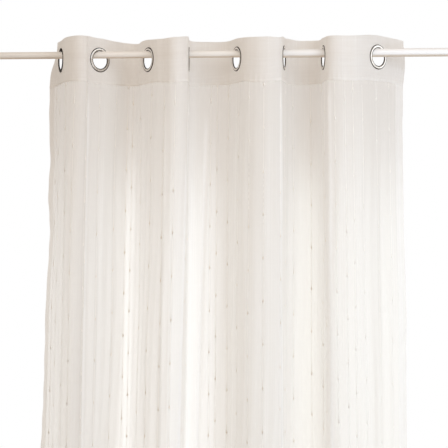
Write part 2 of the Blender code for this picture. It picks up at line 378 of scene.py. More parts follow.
THREADS = Grain(330.0, 2.5, rough=0.6)
SLUBS = Grain(400.0, 20.0, 5.0)
BROAD = Grain(70.0, 1.2, 3.0)
WEFT = Grain(14.0, 240.0, 7.0, rough=0.6)
STRANDS = Grain(620.0, 0.9, 11.0, 1.0)


@dataclass(frozen=True)
class VoileFinish:
    """Sheer cloth of fine warp threads with slubs.

    Where its threads lie closer, in slubs, creases and hems, it is paler and lets less light
    through, so it is lighter than the rest in light from the front and darker against the light.
    Along the creases the paler colour is a painted highlight.
    """

    name: str
    bands: tuple[tuple[str, float, float], ...]
    colour: Colour = (0.865, 0.832, 0.788)
    close_and_highlight_colour: Colour = (1.0, 0.990, 0.975)
    thread_pitch: float = 0.0008
    cover: float = 0.80
    close_cover: float = 0.835
    hem_cover: float = 0.90
    passing_light: float = 0.50
    close_passing: float = 0.20
    tint: float = 1.0
    shade: float = 0.0
    thread_share: float = 0.36
    slub_share: float = 0.30
    strand_share: float = 0.32
    broad_share: float = 0.30
    weft_share: float = 0.22
    weave_share: float = 0.05
    slub_peaks: Span = (0.64, 0.76)
    strand_peaks: Span = (0.58, 0.74)
    closeness: Span = (-0.4, 1.0)
    hem_closeness: float = 0.45
    hem_evenness: float = 0.6
    band_edge: float = 0.0006

    def material(self) -> bpy.types.Material:
        """Builds the material.

        The closeness of the threads is a sum of noise drawn out along the warp, of long strands
        and short dashes where such noise peaks, of weaker noise along the weft, of a fine plain
        weave and of the creases, whose share paints paler highlights along them. The doubled bands
        of the hems have a closeness of their own.

        Returns:
            The material.
        """
        made, graph = new_material(self.name)
        across, down = graph.flat_place()
        threads, slubs, broad, weft, strands = (
            grain.spread(graph, across, down) for grain in (THREADS, SLUBS, BROAD, WEFT, STRANDS)
        )
        rate = TURN / self.thread_pitch
        weave = (across * rate).sine() * (down * rate).sine()
        dashes = slubs.span(*self.slub_peaks) * self.slub_share
        dashes = dashes + strands.span(*self.strand_peaks) * self.strand_share
        streaks = (threads - 0.5) * self.thread_share + dashes + (broad - 0.5) * self.broad_share
        streaks = streaks + (weft - 0.5) * self.weft_share + weave * self.weave_share
        doubled = self.doubled(across, down)
        folded_in = doubled * self.hem_closeness
        # The creases' attribute is partly a painted highlight: a paler colour along them, as well
        # as less light passing.
        close = streaks * (1 - folded_in * self.hem_evenness) + graph.attribute(CREASE) + folded_in
        close = close.limit(*self.closeness)
        tint = (close * self.tint + self.shade).limit()
        colour = graph.mix_colour(tint, self.colour, self.close_and_highlight_colour)
        cover = self.cover + close * (self.close_cover - self.cover)
        cover = (cover + doubled * (self.hem_cover - self.cover)).limit()
        passing = self.passing_light + close * (self.close_passing - self.passing_light)
        relief = graph.bump(threads + weft * 0.3 + dashes * 0.4 + weave * 0.2, 0.30, 0.0005)
        cloth = graph.principled(
            {
                "Base Color": colour,
                "Roughness": 0.85,
                "Specular IOR Level": 0.2,
                "Sheen Weight": 0.40,
                "Sheen Roughness": 0.4,
                "Normal": relief,
            }
        )
        glow = graph.node(
            "ShaderNodeBsdfTranslucent", {"Color": (*self.colour, 1.0), "Normal": relief}
        )
        clear = graph.node("ShaderNodeBsdfTransparent")
        graph.surface(graph.mix_shader(cover, clear, graph.mix_shader(passing, cloth, glow)))
        return made

    def doubled(self, across: Sock, down: Sock) -> Sock:
        """1 on the bands that are doubled, 0 elsewhere."""
        places, edge = {"across": across, "down": down}, self.band_edge
        mask: Sock | float = 0.0
        for axis, low, high in self.bands:
            place = places[axis]
            past = place.span(high - edge, high + edge)
            mask = mask + place.span(low - edge, low + edge) * (1 - past)
        return mask.limit()


@dataclass(frozen=True)
class YarnFinish:
    """Soft matt yarn with a twist, and a darker painted shade in its knots, which stands for
    their darkness against bright light behind the cloth.
    """

    name: str
    colour: Colour
    fibre_colour: Colour
    # The knots' colour is a painted shade.
    knot_painted_shade: Colour
    fibre_scale: float = 2600.0
    fibre_shades: Span = (0.35, 0.65)
    knot_fibres: Span = (0.3, 0.7)
    knot_evenness: float = 0.65

    def material(self) -> bpy.types.Material:
        """Builds the material: two shades mixed by fine noise, which also roughens the surface,
        and a third, darker one, a painted shade, where the knots' attribute is high."""
        made, graph = new_material(self.name)
        fibres = graph.noise(graph.object_place(), self.fibre_scale, 3.0, 0.7)
        colour = graph.mix_colour(fibres.span(*self.fibre_shades), self.colour, self.fibre_colour)
        spots = fibres.span(*self.knot_fibres) * (1 - self.knot_evenness)
        # The knots' painted shade, mottled by the fibres.
        shade = graph.attribute(KNOT).limit() * (self.knot_evenness + spots)
        shader = graph.principled(
            {
                "Base Color": graph.mix_colour(shade, colour, self.knot_painted_shade),
                "Roughness": 0.8,
                "Sheen Weight": 0.15,
                "Normal": graph.bump(fibres, 0.5, 0.0003),
            }
        )
        graph.surface(shader)
        return made


@dataclass(frozen=True)
class NickelFinish:
    """Polished nickel plate, rubbed on the band, with a painted shade and a painted dark reflection
    along its edges.
    """

    name: str = "polished_nickel"
    colour: Colour = (0.93, 0.92, 0.90)
    worn_colour: Colour = (0.78, 0.755, 0.72)
    edge_shade_colour: Colour = (0.060, 0.045, 0.036)
    edge_shade_clouds: float = 0.45
    edge_shade_span: Span = (0.34, 0.64)
    worn_clouds: Span = (0.45, 0.75)
    dull_clouds: Span = (0.40, 0.80)
    scratch_peaks: Span = (0.55, 0.80)
    polish: float = 0.09
    dullness: float = 0.08
    scratched: float = 0.07
    edge_shade_roughness: float = 0.12

    def material(self) -> bpy.types.Material:
        """Builds the material.

        Noise dulls the polish in cloudy patches and fine scratches. A near-black painted shade,
        which stands for the shade and dark reflections at the ring's edges, grows from the rim and
        the bore, by the edges' attribute and a cloudy share, and is rougher.
        """
        made, graph = new_material(self.name)
        place = graph.object_place()
        clouds = graph.noise(place, 90.0, 3.0, 0.6)
        scratches = graph.noise(place, 1500.0, 2.0, 0.7)
        # Painted shade and dark reflection along the rim and the bore, with a cloudy edge.
        edge_shade = graph.attribute(EDGE) + (clouds - 0.5) * self.edge_shade_clouds
        edge_shade = edge_shade.span(*self.edge_shade_span)
        plated = graph.mix_colour(clouds.span(*self.worn_clouds), self.colour, self.worn_colour)
        rough = self.polish + clouds.span(*self.dull_clouds) * self.dullness
        rough = rough + scratches.span(*self.scratch_peaks) * self.scratched
        shader = graph.principled(
            {
                "Base Color": graph.mix_colour(edge_shade, plated, self.edge_shade_colour),
                "Metallic": 1.0,
                "Roughness": rough + edge_shade * self.edge_shade_roughness,
                "Normal": graph.bump(scratches, 0.06, 0.0002),
            }
        )
        graph.surface(shader)
        return made


@dataclass(frozen=True)
class PaintFinish:
    """Satin paint on a tube, a little rubbed where rings slide along its top, with a browner
    painted shade along its underside."""

    name: str
    colour: Colour
    rubbed_colour: Colour
    underside_shade_colour: Colour
    mark_peaks: Span = (0.58, 0.72)
    dull_marks: Span = (0.4, 0.8)
    top: Span = (0.002, 0.008)
    underside: Span = (-0.0080, -0.0035)
    ragged: float = 0.002
    rubbed_share: float = 0.7
    polish: float = 0.34
    dullness: float = 0.16

    def material(self) -> bpy.types.Material:
        """Builds the material: a browner painted shade on the underside, a fine orange-peel bump
        and long rub marks.
        """
        made, graph = new_material(self.name)
        place = graph.object_place()
        along, side, height = graph.parts(place)
        drawn_out = graph.combine(along * 14.0, side * 420.0, height * 420.0)
        marks = graph.noise(drawn_out, 1.0, 3.0, 0.6)
        peel = graph.noise(place, 700.0, 1.0)
        rubbed = marks.span(*self.mark_peaks) * height.span(*self.top)
        colour = graph.mix_colour(rubbed * self.rubbed_share, self.colour, self.rubbed_colour)
        # Painted shade and warm reflection: the underside is browner, with a ragged edge.
        under = 1 - (height + (marks - 0.5) * self.ragged).span(*self.underside)
        colour = graph.mix_colour(under, colour, self.underside_shade_colour)
        shader = graph.principled(
            {
                "Base Color": colour,
                "Roughness": self.polish + marks.span(*self.dull_marks) * self.dullness,
                "Coat Weight": 0.15,
                "Coat Roughness": 0.25,
                "Normal": graph.bump(peel + marks * 0.4, 0.08, 0.0003),
            }
        )
        graph.surface(shader)
        return made


# The cloth's shape.


@dataclass(frozen=True)
class Eyelet:
    """Where an eyelet holds the cloth: its place along the rod and the angle by which the cloth
    turns away from square to the rod, there and at the hem."""

    x: float
    turn: float
    hem_x: float
    hem_turn: float


@dataclass(frozen=True)
class Fold:
    """A fold between two eyelets: how far its bend is pushed to one side at the rod and at the
    hem, a dent in its flank, and how far the cloth sinks at its middle."""

    skew: float
    hem_skew: float
    dent: float
    dent_place: float
    sink: float


@dataclass(frozen=True)
class Flap:
    """The cloth beyond an end eyelet: its bend at the top edge, at the heading's seam and at the
    hem, and how far its corner droops."""

    top_bend: float
    seam_bend: float
    hem_bend: float
    droop: float


@dataclass(frozen=True)
class Crease:
    """A soft ridge or, where its height is negative, a trough that runs down the cloth.

    Its place is given at the heading's seam and at the hem, and its closeness says how much
    closer the threads lie along it, so that less light passes; the paler colour that it also
    gives is a painted highlight along the crease.
    """

    seam_across: float
    hem_across: float
    height: float
    width: float
    start: float
    end: float
    closeness: float


@dataclass(frozen=True)
class Wave:
    """A soft wave of an edge: where its middle lies, how wide it is and how far it reaches."""

    middle: float
    width: float
    reach: float


@dataclass(frozen=True)
class Pucker:
    """A train of ripples in the cloth: how high they stand and how long one is."""

    height: float
    length: float


def waves_at(value: np.ndarray, waves: tuple[Wave, ...]) -> np.ndarray:
    """The sum of the waves' bell curves."""
    return sum(wave.reach * bell(value, wave.middle, wave.width) for wave in waves)


@dataclass
class HungCloth:
    """The folds of the hanging cloth, the same as its solids', with creases and puckers."""

    pitch: float = 0.180
    margin: float = 0.070
    flat_stretch: float = 0.030
    rise: float = 0.0465
    heading_depth: float = 0.1010
    drop: float = 2.400
    ring_bore: float = 0.0200
    ring_rim: float = 0.0280
    ring_fade: float = 0.020
    still_above: float = 0.026
    ring_face: float = 0.0011
    ring_gap: float = 0.0003
    ring_sides: int = 24
    dent_width: float = 0.15
    hang_spread: float = 0.9
    heading_rungs: int = 24
    panel_rungs: int = 150
    rung_spread: float = 1.2
    fade_in: float = 0.08
    fade_out: float = 0.20
    curve_steps: int = 88
    solver_rounds: int = 40
    solver_nudge: float = 1e-4
    solver_stride: float = 0.3
    eyelets: tuple[Eyelet, ...] = records(
        Eyelet,
        (-0.3740, 22.0, -0.4170, 32.0),
        (-0.2840, 43.0, -0.3260, 32.0),
        (-0.1735, 34.0, -0.2110, 24.0),
        (-0.0800, -4.0, -0.1150, 8.0),
        (0.0285, 25.0, 0.0150, 18.0),
        (0.1365, 7.0, 0.1380, 9.0),
        (0.2245, 9.0, 0.2400, 12.0),
        (0.3480, 45.0, 0.3850, 38.0),
    )
    folds: tuple[Fold, ...] = records(
        Fold,
        (-0.60, -0.10, 0.0, 0.50, 0.0000),
        (-0.30, 0.20, 12.0, 0.30, -0.0010),
        (0.10, -0.30, 80.0, 0.16, 0.0050),
        (0.20, 0.35, -10.0, 0.65, -0.0010),
        (-0.30, 0.10, 17.0, 0.15, 0.0055),
        (0.00, -0.20, 10.0, 0.70, -0.0010),
        (0.00, 0.25, -14.0, 0.60, 0.0035),
    )
    left_flap: Flap = Flap(-25.0, 36.0, 4.0, 0.0030)
    right_flap: Flap = Flap(-52.0, -32.0, -28.0, 0.0060)
    # The last column, the closeness, also sets a painted highlight along each crease.
    creases: tuple[Crease, ...] = records(
        Crease,
        (0.112, 0.100, -0.0014, 0.014, 0.10, 2.20, 0.00),
        (0.216, 0.219, 0.0010, 0.006, 0.05, 2.30, 0.70),
        (0.262, 0.250, -0.0012, 0.010, 0.20, 1.60, 0.00),
        (0.328, 0.334, 0.0014, 0.012, 0.08, 2.10, 0.05),
        (0.391, 0.393, -0.0030, 0.008, 0.12, 2.30, 0.30),
        (0.503, 0.520, 0.0012, 0.004, 0.08, 2.30, 0.60),
        (0.514, 0.531, -0.0012, 0.006, 0.10, 1.90, 0.00),
        (0.572, 0.528, 0.0010, 0.006, 0.20, 2.30, 0.90),
        (0.599, 0.600, 0.0010, 0.007, 0.03, 0.60, 1.00),
        (0.694, 0.647, -0.0024, 0.005, 0.10, 2.30, 0.80),
        (0.738, 0.730, 0.0012, 0.010, 0.08, 1.50, 0.05),
        (0.794, 0.727, 0.0010, 0.005, 0.05, 2.30, 0.35),
        (0.868, 0.880, -0.0010, 0.012, 0.30, 2.20, 0.00),
        (0.930, 0.945, 0.0010, 0.006, 0.03, 2.30, 0.60),
        (0.990, 0.985, -0.0014, 0.012, 0.15, 2.00, 0.00),
        (1.058, 1.070, 0.0012, 0.012, 0.10, 1.40, 0.05),
        (1.128, 1.140, -0.0016, 0.010, 0.12, 2.30, 0.00),
        (1.196, 1.190, 0.0010, 0.006, 0.03, 2.30, 1.00),
        (1.262, 1.255, 0.0010, 0.009, 0.10, 1.70, 0.10),
        (1.335, 1.325, -0.0014, 0.014, 0.08, 2.30, 0.00),
    )
    top_waves: tuple[Wave, ...] = records(
        Wave,
        (0.070, 0.040, -0.0022), (0.216, 0.020, 0.0046), (0.255, 0.025, 0.0028),
        (0.372, 0.030, -0.0032), (0.470, 0.035, -0.0044), (0.628, 0.022, 0.0040),
        (0.725, 0.030, -0.0014), (0.830, 0.026, -0.0027), (0.922, 0.022, -0.0048),
        (1.018, 0.022, 0.0032), (1.110, 0.020, -0.0012), (1.182, 0.036, -0.0036),
        (1.255, 0.040, -0.0012), (1.328, 0.032, 0.0022),
    )
    left_waves: tuple[Wave, ...] = records(
        Wave,
        (0.020, 0.030, -0.0042), (0.225, 0.060, 0.0052), (0.385, 0.066, 0.0078),
        (0.475, 0.060, 0.0036), (0.950, 0.120, -0.0040), (1.450, 0.150, 0.0050),
        (1.950, 0.150, -0.0040),
    )
    right_waves: tuple[Wave, ...] = records(
        Wave,
        (0.012, 0.045, 0.0062), (0.090, 0.035, 0.0020), (0.560, 0.100, 0.0030),
        (1.100, 0.150, -0.0040), (1.700, 0.180, 0.0040),
    )
    edge_sway: float = 0.055
    slow: Pucker = Pucker(0.0011, 0.061)
    fine: Pucker = Pucker(0.0006, 0.027)
    gathered: Pucker = Pucker(0.00035, 0.0145)
    hemmed: Pucker = Pucker(0.0007, 0.052)
    drawn: Pucker = Pucker(0.0006, 0.0135)
    pucker_width: float = 0.016
    hang_in: float = 0.25
    hem_in: float = 0.05
    drift_reach: float = 0.9
    drift_length: float = 0.83
    drift_lean: float = 1.7
    patch_across: Span = (0.865, 0.030)
    patch_down: Span = (0.330, 0.120)
    lengths: np.ndarray = field(init=False)
    rows: np.ndarray = field(init=False)
    curve: np.ndarray = field(init=False)
    square: np.ndarray = field(init=False)

    def __post_init__(self) -> None:
        """Works out the plan curve at a ladder of depths."""
        upper = np.linspace(-self.rise, self.seam, self.heading_rungs, endpoint=False)
        lower = np.linspace(0, 1, self.panel_rungs) ** self.rung_spread
        self.rows = np.concatenate([upper, self.seam + (self.hem - self.seam) * lower])
        self.lengths, self.curve = self._plan_curves(self.rows)
        slope = unit(np.gradient(self.curve, self.lengths, axis=1))
        self.square = np.stack([slope[..., 1], -slope[..., 0]], axis=-1)

    @property
    def places(self) -> np.ndarray:
        """The eyelets' flat places."""
        return self.margin + self.pitch * np.arange(len(self.eyelets))

    @property
    def width(self) -> float:
        """The flat width."""
        return float(self.places[-1] + self.margin)

    @property
    def seam(self) -> float:
        """The depth of the heading's lower edge."""
        return self.heading_depth - self.rise

    @property
    def hem(self) -> float:
        """The depth of the bottom edge."""
        return self.drop - self.rise

    @property
    def bend_length(self) -> float:
        """The length of cloth that bends between two flat stretches."""
        return self.pitch - 2 * self.flat_stretch

    def ring_drop(self, eyelet: Eyelet) -> float:
        """How far a ring's centre hangs below the rod's axis.

        Seen along the ring's axis the rod is an ellipse, shifted sideways at either face by the
        ring's thickness. The drop is the largest that leaves a gap all round.
        """
        turn = math.radians(eyelet.turn)
        radius = THICK_ROD if eyelet.x > ROD_STEP else THIN_ROD
        bore = self.ring_bore * math.cos(math.pi / self.ring_sides) - self.ring_gap
        around = np.linspace(0, math.pi, 91)
        sideways = np.abs(radius / math.cos(turn) * np.cos(around))
        sideways += self.ring_face * abs(math.tan(turn))
        room = np.sqrt(np.maximum(bore**2 - sideways**2, 0))
        return float(np.min(room - radius * np.sin(around)))

    def direction(self, index: int, turn: np.ndarray | float) -> np.ndarray | float:
        """The cloth's direction at an eyelet: towards the viewer at odd ones, away at even ones."""
        return (-1 if index % 2 == 0 else 1) * np.radians(90 - np.asarray(turn))

    @staticmethod
    def _walk(start: np.ndarray, directions: np.ndarray, length: float) -> np.ndarray:
        """The points of curves of this length whose directions are given at even steps.

        Each step moves by the mean of the unit vectors of the directions at its two ends.
        """
        step = length / (directions.shape[1] - 1)
        ahead = np.stack([np.cos(directions), np.sin(directions)], axis=-1)
        moves = (ahead[:, 1:] + ahead[:, :-1]) / 2 * step
        moves = np.concatenate([np.zeros_like(moves[:, :1]), moves], axis=1)
        return start[:, None] + np.cumsum(moves, axis=1)

    def _fold_curves(
        self,
        starts: tuple[np.ndarray, np.ndarray],
        ends: tuple[np.ndarray, np.ndarray],
        fold: Fold,
        skew: np.ndarray,
    ) -> np.ndarray:
        """The bent part of a fold at every depth.

        The direction swings from the start's to the end's: by the skewed place less its sine
        over two turns, plus a bell-shaped dent. A whole and a half sine wave are added, whose
        strengths Newton's method finds, so that the curve arrives at its end.

        Args:
            starts: The points and the directions where the fold starts, for each depth.
            ends: The same where it ends.
            fold: The fold.
            skew: Its skew at each depth.

        Returns:
            The points, by depth and place along the fold.
        """
        start, start_direction = starts
        end, end_direction = ends
        place = np.linspace(0, 1, self.curve_steps + 1)
        skewed = place + skew[:, None] * place * (1 - place)
        swing = skewed - np.sin(TURN * skewed) / (2 * TURN)
        dent = bell(place, fold.dent_place, self.dent_width) * np.sin(math.pi * place)
        plain = start_direction[:, None] + (end_direction - start_direction)[:, None] * swing
        plain = plain + math.radians(fold.dent) * dent
        half_wave = np.broadcast_to(np.sin(math.pi * place), skewed.shape)
        waves = np.stack([np.sin(TURN * skewed), half_wave], axis=1)

        def points(strengths: np.ndarray) -> np.ndarray:
            """The curves for these strengths of the two waves."""
            bends = plain + np.einsum("rk,rkc->rc", strengths, waves)
            return self._walk(start, bends, self.bend_length)

        strengths = np.zeros((len(skew), 2))
        nudges = self.solver_nudge * np.eye(2)
        for _ in range(self.solver_rounds):
            miss = points(strengths)[:, -1] - end
            trials = [points(strengths + nudge)[:, -1] - end for nudge in nudges]
            slopes = np.stack([(trial - miss) / self.solver_nudge for trial in trials], axis=-1)
            change = np.linalg.solve(slopes, miss[..., None])[..., 0]
            strengths = strengths - np.clip(change, -self.solver_stride, self.solver_stride)
        return points(strengths)

    def _plan_curves(self, downs: np.ndarray) -> tuple[np.ndarray, np.ndarray]:
        """The cloth's plan at each depth.

        Args:
            downs: The depths.

        Returns:
            The flat places along the curve, and its points by depth and place.
        """
        hang = np.clip((downs - self.seam) / (self.hem - self.seam), 0, 1) ** self.hang_spread

        def between(top: float, hem: float) -> np.ndarray:
            """A value at each depth, from its value at the top and at the hem."""
            return top + (hem - top) * hang

        def flap(start: np.ndarray, direction: np.ndarray, edge: Flap) -> np.ndarray:
            """The cloth beyond an end eyelet: straight, then bent evenly."""
            opened = np.interp(downs, (-self.rise, self.seam), (edge.top_bend, edge.seam_bend))
            bend = np.radians(opened + (edge.hem_bend - opened) * hang)
            bent = np.clip((margin - self.flat_stretch) / (self.margin - self.flat_stretch), 0, 1)
            return self._walk(start, direction[:, None] + bend[:, None] * bent, self.margin)

        margin = np.linspace(0, self.margin, self.curve_steps + 1)
        along = np.linspace(0, self.bend_length, self.curve_steps + 1)
        centres = [
            np.stack([between(e.x, e.hem_x), np.zeros_like(downs)], axis=-1) for e in self.eyelets
        ]
        ways = [self.direction(i, between(e.turn, e.hem_turn)) for i, e in enumerate(self.eyelets)]
        ahead = [np.stack([np.cos(way), np.sin(way)], axis=-1) for way in ways]
        pieces = [flap(centres[0], ways[0] + math.pi, self.left_flap)[:, :0:-1]]
        lengths = [margin[:-1]]
        for i, fold in enumerate(self.folds):
            start = centres[i] + self.flat_stretch * ahead[i]
            end = centres[i + 1] - self.flat_stretch * ahead[i + 1]
            skew = between(fold.skew, fold.hem_skew)
            bent = self._fold_curves((start, ways[i]), (end, ways[i + 1]), fold, skew)
            pieces += [centres[i][:, None], bent]
            lengths += [self.places[i : i + 1], self.places[i] + self.flat_stretch + along]
        pieces.append(flap(centres[-1], ways[-1], self.right_flap))
        lengths.append(self.places[-1] + margin)
        return np.concatenate(lengths), np.concatenate(pieces, axis=1)

    def heights(self, across: np.ndarray) -> np.ndarray:
        """The height of the eyelets' line: level at each ring, and blended between them by smooth
        steps, less the sink of each fold and the droop of the corners."""
        drops = [-self.ring_drop(eyelet) for eyelet in self.eyelets]
        height = np.full_like(across, drops[0])
        free = self.margin - self.flat_stretch
        for i, fold in enumerate(self.folds):
            place = (across - self.places[i] - self.flat_stretch) / self.bend_length
            height += (drops[i + 1] - drops[i]) * smooth_step(place)
            height -= fold.sink * np.sin(math.pi * np.clip(place, 0, 1)) ** 2
        height -= self.left_flap.droop * np.clip((free - across) / free, 0, 1) ** 2
        right = (across - self.places[-1] - self.flat_stretch) / free
        return height - self.right_flap.droop * np.clip(right, 0, 1) ** 2

    def near_eyelet(self, across: np.ndarray, down: np.ndarray) -> np.ndarray:
        """The distance on the flat cloth to the nearest eyelet's centre."""
        apart = np.abs(across[..., None] - self.places).min(axis=-1)
        return np.hypot(apart, down)

    def along(self, crease: Crease, across: np.ndarray, down: np.ndarray) -> np.ndarray:
        """How strong a crease is: a bell curve across it, which fades in and out down the cloth."""
        share = (down - self.seam) / (self.hem - self.seam)
        centre = crease.seam_across + (crease.hem_across - crease.seam_across) * share
        fade = smooth_step((down - crease.start) / self.fade_in)
        fade = fade * smooth_step((crease.end - down) / self.fade_out)
        return bell(across, centre, crease.width) * fade

    def closeness(self, across: np.ndarray, down: np.ndarray) -> np.ndarray:
        """How much closer the creases' threads lie, which also sets their painted highlight: the
        sum over the creases.
        """
        return sum(crease.closeness * self.along(crease, across, down) for crease in self.creases)

    def sway(self, across: np.ndarray, down: np.ndarray) -> np.ndarray:
        """How far the side edges stray along X: their waves, which die out within the cloth."""
        left = smooth_step(1 - across / self.edge_sway) * waves_at(down, self.left_waves)
        right = smooth_step(1 - (self.width - across) / self.edge_sway)
        return left + right * waves_at(down, self.right_waves)

    def lift(self, across: np.ndarray, down: np.ndarray) -> np.ndarray:
        """How far the top edge rises over its line: its waves, which die out above the rings."""
        above = smooth_step((-down - self.still_above) / (self.rise - self.still_above))
        return above * waves_at(across, self.top_waves)

    def relief(self, across: np.ndarray, down: np.ndarray) -> np.ndarray:
        """How far the cloth stands out of its plain fold.

        It is the sum of the creases, of slow waves that lean and drift down the cloth, and of fine
        puckers along the heading's seam, the side hems, where they grow longer down the cloth, and
        one drawn patch. It dies out round the rings.
        """
        total = sum(crease.height * self.along(crease, across, down) for crease in self.creases)
        hanging = smooth_step((down - self.seam) / self.hang_in)
        leaning = TURN * (down / self.drift_length + self.drift_lean * across)
        drift = self.drift_reach * np.sin(leaning)
        slow, fine = TURN * across / self.slow.length, TURN * across / self.fine.length
        total += hanging * self.slow.height * np.sin(slow + drift)
        total += hanging * self.fine.height * np.sin(fine - 1.6 * drift + 4.0 * down)
        gathers = TURN * across / self.gathered.length + 2.0 * np.sin(TURN * across / 0.11)
        at_seam = bell(down, self.seam, self.pucker_width)
        total += self.gathered.height * np.sin(gathers) * at_seam
        edge = np.minimum(across, self.width - across)
        spread = np.log1p(0.8 * np.clip(down, 0, None)) / 0.8
        ripples = TURN * spread / self.hemmed.length + 1.8 * np.sin(TURN * spread / 0.31)
        at_edge = np.exp(-edge / self.pucker_width)
        below_seam = smooth_step((down - self.seam) / self.hem_in)
        total += self.hemmed.height * np.sin(ripples) * at_edge * below_seam
        patch = bell(across, *self.patch_across) * bell(down, *self.patch_down)
        slanted = TURN * (down / self.drawn.length + 2.0 * across)
        total += self.drawn.height * patch * np.sin(slanted)
        past_ring = self.near_eyelet(across, down) - self.ring_rim
        return total * smooth_step(past_ring / self.ring_fade)

    def hung(
        self, across: np.ndarray, down: np.ndarray, off: np.ndarray | float = 0.0
    ) -> np.ndarray:
        """Hangs places of the flat cloth.

        The plan curve between the ladder's depths is a blend of the two nearest ones, and the
        point stands off it, square to the cloth, by the relief and the given distance.

        Args:
            across: The places along the width.
            down: The depths below the eyelets' centres.
            off: How far the point lies in front of the cloth.

        Returns:
            The points, with x, y and z in the last axis.
        """
        across, down, off = np.broadcast_arrays(across, down, off)
        row, column = (
            np.interp(value, known, np.arange(len(known)))
            for value, known in ((down, self.rows), (across, self.lengths))
        )
        top = np.clip(row.astype(int), 0, len(self.rows) - 2)
        left = np.clip(column.astype(int), 0, len(self.lengths) - 2)
        below, right = (row - top)[..., None], (column - left)[..., None]

        def blend(table: np.ndarray) -> np.ndarray:
            """The table's value between its four nearest entries."""
            upper = table[top, left] * (1 - right) + table[top, left + 1] * right
            lower = table[top + 1, left] * (1 - right) + table[top + 1, left + 1] * right
            return upper * (1 - below) + lower * below

        square = unit(blend(self.square))
        plan = blend(self.curve) + square * (self.relief(across, down) + off)[..., None]
        plan[..., 0] += self.sway(across, down)
        level = self.heights(across) - down + self.lift(across, down)
        return np.concatenate([plan, level[..., None]], axis=-1)

    def outwards(self, across: np.ndarray, down: np.ndarray) -> np.ndarray:
        """The directions square to the hung cloth, towards its front."""
        return unit(self.hung(across, down, FEELER) - self.hung(across, down))


# Pieces.


@dataclass
class Curtain:
    """The two pieces of cloth."""

    cloth: HungCloth = field(default_factory=HungCloth)
    side_hem: float = 0.018
    bottom_hem: float = 0.055
    panel_columns: int = 560
    row_steps: tuple[int, ...] = (0, 17, 57, 103, 177)
    row_depths: tuple[float, ...] = (0.20, 0.46, 0.90)
    heading_columns: int = 700
    heading_rows: int = 52
    hole_radius: float = 0.0240
    tuck: float = 0.0012
    tuck_back: float = 0.0005
    tuck_fade: float = 0.004
    hole_trim: float = 0.0015
    seam_band: float = 0.006

    def build_panel(self) -> bpy.types.Object:
        """The voile below the heading.

        Its rows lie closest in the drawn patch and further apart below, and its upper edge is
        tucked behind the heading.
        """
        cloth = self.cloth
        top = cloth.seam - self.tuck
        depths = (top, *self.row_depths, cloth.hem)
        down = np.interp(np.arange(self.row_steps[-1] + 1), self.row_steps, depths)[:, None]
        across = np.linspace(0, cloth.width, self.panel_columns)[None]
        back = self.tuck_back * (1 - smooth_step((down - cloth.seam) / self.tuck_fade))
        points = cloth.hung(across, down, -back)
        flat = np.stack(np.broadcast_arrays(across, down), axis=-1)
        faces = grid_faces(len(down), across.size)
        mesh = make_mesh("voile_panel", points.reshape(-1, 3), [faces], flat.reshape(-1, 2))
        # The creases' closeness, which also sets their painted highlight in the voile's finish.
        mark(mesh, CREASE, cloth.closeness(*np.broadcast_arrays(across, down)))
        bands = (
            ("across", -1.0, self.side_hem),
            ("across", cloth.width - self.side_hem, cloth.width + 1.0),
            ("down", cloth.hem - self.bottom_hem, cloth.hem + 1.0),
        )
        piece = add_piece("voile_panel", mesh, VoileFinish("voile", bands=bands).material())
        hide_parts("panel")
        cloth.width
        return piece

    def build_heading(self) -> bpy.types.Object:
        """The doubled strip along the top, with a hole for each ring.

        The holes' edges follow the grid and lie under the rings' rims.
        """
        cloth = self.cloth
        down = np.linspace(-cloth.rise, cloth.seam, self.heading_rows)[:, None]
        across = np.linspace(0, cloth.width, self.heading_columns)[None]
        across, down = np.broadcast_arrays(across, down)
        points = cloth.hung(across, down)
        faces = grid_faces(*across.shape)
        away = cloth.near_eyelet(across, down).ravel()
        faces = faces[away[faces].min(axis=1) > self.hole_radius - self.hole_trim]
        flat = np.stack([across, down], axis=-1)
        mesh = make_mesh("heading_cloth", points.reshape(-1, 3), [faces], flat.reshape(-1, 2))
        finish = VoileFinish(
            "doubled_voile",
            colour=(0.880, 0.850, 0.812),
            close_and_highlight_colour=(1.0, 0.988, 0.968),
            cover=0.965,
            close_cover=1.0,
            hem_cover=1.0,
            passing_light=0.42,
            close_passing=0.32,
            tint=1.6,
            shade=0.45,
            weft_share=0.40,
            hem_closeness=0.12,
            bands=(("down", cloth.seam - self.seam_band, 1.0),),
        )
        piece = add_piece("heading_cloth", mesh, finish.material())
        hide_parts("heading")
        holes = len(cloth.eyelets) * math.pi * self.hole_radius**2
        area = cloth.width * cloth.heading_depth - holes
        cloth.width
        return piece

    def build(self) -> list[bpy.types.Object]:
        """Builds the curtain's pieces."""
        return [self.build_panel(), self.build_heading()]


@dataclass(frozen=True)
class Yarn:
    """A knotted yarn: its place across the cloth and the depth of its first knot."""

    across: float
    first_knot: float


@dataclass(frozen=True)
class KnotRing:
    """One ring of the outline of a yarn near a knot: its height over the knot's foot and its
    radius, as a multiple of the plain yarn's."""

    above: float
    radius: float


